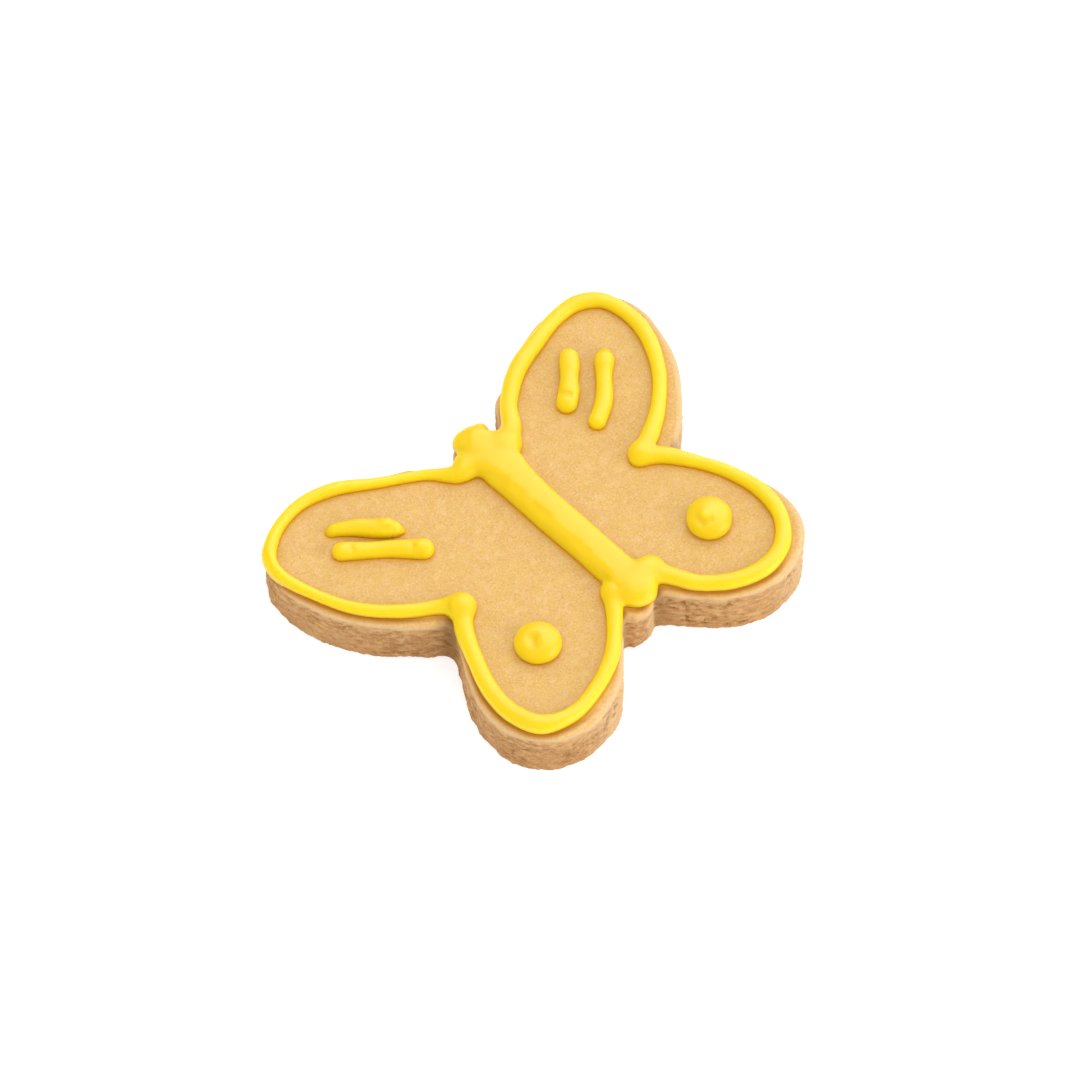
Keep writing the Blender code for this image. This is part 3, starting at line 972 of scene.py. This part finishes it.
def paint(tree, masks, colour, layers):
    """A colour with layers over it, as the tables above give them."""
    for mask, begins, full, share, coat in layers:
        if isinstance(coat[0], str):
            coat = blend_colours(tree, masks[coat[0]], coat[1], coat[2])
        through = spread(tree, masks[mask], begins, full, 0.0, share)
        colour = blend_colours(tree, through, colour, coat)
    return colour


def new_material(name, finish):
    """A material with some of its shader's sockets set, its node tree and its shader."""
    material = bpy.data.materials.new(name)
    material.use_nodes = True
    shader = material.node_tree.nodes["Principled BSDF"]
    for socket, value in finish.items():
        shader.inputs[socket].default_value = value
    return material, material.node_tree, shader


def make_masks(tree, noises, marks):
    """Masks by name, for noises and for the marks on the mesh, and the place that they use."""
    place = tree.nodes.new("ShaderNodeTexCoord").outputs["Object"]
    masks = {name: noise_field(tree, place, *settings) for name, settings in noises.items()}
    for name in marks:
        masks[name] = attribute(tree, name)
    return masks, place


def add_bump(tree, shader, height, distance, strength):
    bump = add_node(tree, "ShaderNodeBump", Height=height, Distance=distance * MM,
                    Strength=strength)
    tree.links.new(bump.outputs["Normal"], shader.inputs["Normal"])


def dough_material():
    material, tree, shader = new_material("sandy_baked_dough", DOUGH_FINISH)
    masks, place = make_masks(tree, DOUGH_NOISES, DOUGH_MARKS + SOAK_AND_SHADE_MARKS)
    layered = add_node(tree, "ShaderNodeMapping", Vector=place, Scale=LAYER_STRETCH)
    masks["fibres"] = noise_field(tree, layered.outputs["Vector"], *FIBRES)
    masks["level"] = add_node(tree, "ShaderNodeSeparateXYZ", Vector=place).outputs["Z"]

    top = paint(tree, masks, TOP_TAN, TOP_LAYERS)
    side = paint(tree, masks, SIDE_TAN, SIDE_LAYERS)
    side = blend_colours(tree, masks["band"], side, BAND_SANDY)
    colour = blend_colours(tree, masks["wall"], top, side)
    colour = paint(tree, masks, colour, DOUGH_LAYERS)
    tree.links.new(colour, shader.inputs["Base Color"])
    strength = spread(tree, masks["wall"], 0.0, 1.0, TOP_BUMP_STRENGTH, WALL_BUMP_STRENGTH)
    add_bump(tree, shader, masks["grain"], DOUGH_BUMP, strength)
    return material


def icing_material():
    material, tree, shader = new_material("satin_yellow_icing", ICING_FINISH)
    masks, _ = make_masks(tree, ICING_NOISES, ["height"])
    tree.links.new(paint(tree, masks, ICING_DEEP, ICING_LAYERS), shader.inputs["Base Color"])
    roughness = spread(tree, masks["gloss"], *ICING_ROUGHNESS_NOISE, *ICING_ROUGHNESS)
    tree.links.new(roughness, shader.inputs["Roughness"])
    add_bump(tree, shader, masks["ripple"], ICING_BUMP, ICING_BUMP_STRENGTH)
    return material


def make_floor():
    corners = [(-FLOOR_HALF, -FLOOR_HALF, 0.0), (FLOOR_HALF, -FLOOR_HALF, 0.0),
               (FLOOR_HALF, FLOOR_HALF, 0.0), (-FLOOR_HALF, FLOOR_HALF, 0.0)]
    floor = make_mesh("floor", corners, [(0, 1, 2, 3)])
    floor.location.z = -FLOOR_DROP * MM
    floor.data.materials.append(new_material("pale_floor", FLOOR_FINISH)[0])


def make_light(name, azimuth, elevation, distance, size, power):
    """A round soft light that looks at the biscuit."""
    data = bpy.data.lights.new(name, 'AREA')
    data.shape = 'DISK'
    data.size = size
    data.energy = power
    light = bpy.data.objects.new(name, data)
    flat = math.cos(math.radians(elevation)) * distance
    turn = math.radians(azimuth)
    light.location = (flat * math.cos(turn), flat * math.sin(turn),
                      distance * math.sin(math.radians(elevation)))
    light.rotation_mode = 'QUATERNION'
    light.rotation_quaternion = (-light.location).to_track_quat("-Z", "Y")
    bpy.context.scene.collection.objects.link(light)
    return light


def make_camera():
    back = Vector((math.sin(VIEW_AZIMUTH) * math.cos(VIEW_ELEVATION),
                   -math.cos(VIEW_AZIMUTH) * math.cos(VIEW_ELEVATION),
                   math.sin(VIEW_ELEVATION)))
    right = Vector((math.cos(VIEW_AZIMUTH), math.sin(VIEW_AZIMUTH), 0.0))
    turn = Matrix((right, back.cross(right), back)).transposed().to_4x4()
    data = bpy.data.cameras.new("camera")
    data.lens = LENS
    data.sensor_width = SENSOR
    data.clip_start, data.clip_end = VIEW_CLIPPING
    camera = bpy.data.objects.new("camera", data)
    camera.matrix_world = Matrix.Translation(VIEW_CENTRE + back * VIEW_DISTANCE) @ turn
    bpy.context.scene.collection.objects.link(camera)
    bpy.context.scene.camera = camera


def make_studio():
    """White surroundings, four soft lights, floor and camera. The top light isn't reflected
    by gloss, as the surroundings aren't, and the sheen light shows only in gloss."""
    world = bpy.data.worlds.new("studio")
    world.use_nodes = True
    sky = world.node_tree.nodes["Background"]
    sky.inputs["Color"].default_value = WHITE
    sky.inputs["Strength"].default_value = SKY_STRENGTH
    world.cycles_visibility.glossy = False
    bpy.context.scene.world = world
    bpy.context.scene.view_settings.view_transform = 'Standard'
    lights = {name: make_light(name, *settings) for name, settings in LIGHTS.items()}
    lights["top"].visible_glossy = False
    lights["sheen"].visible_diffuse = False
    make_floor()
    make_camera()


def main():
    outline = biscuit_outline()
    inward = inward_ways(outline)
    biscuit = make_biscuit(outline, inward)
    runs = pipe_all(outline)
    soak_and_shade(biscuit, runs.values(), outline, inward)

    biscuit.data.materials.append(dough_material())
    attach(biscuit, "root")
    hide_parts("biscuit")
    icing = icing_material()
    for node, piece in runs.items():
        piece.data.materials.append(icing)
        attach(piece, "root")
        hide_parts(node)
    make_studio()


main()
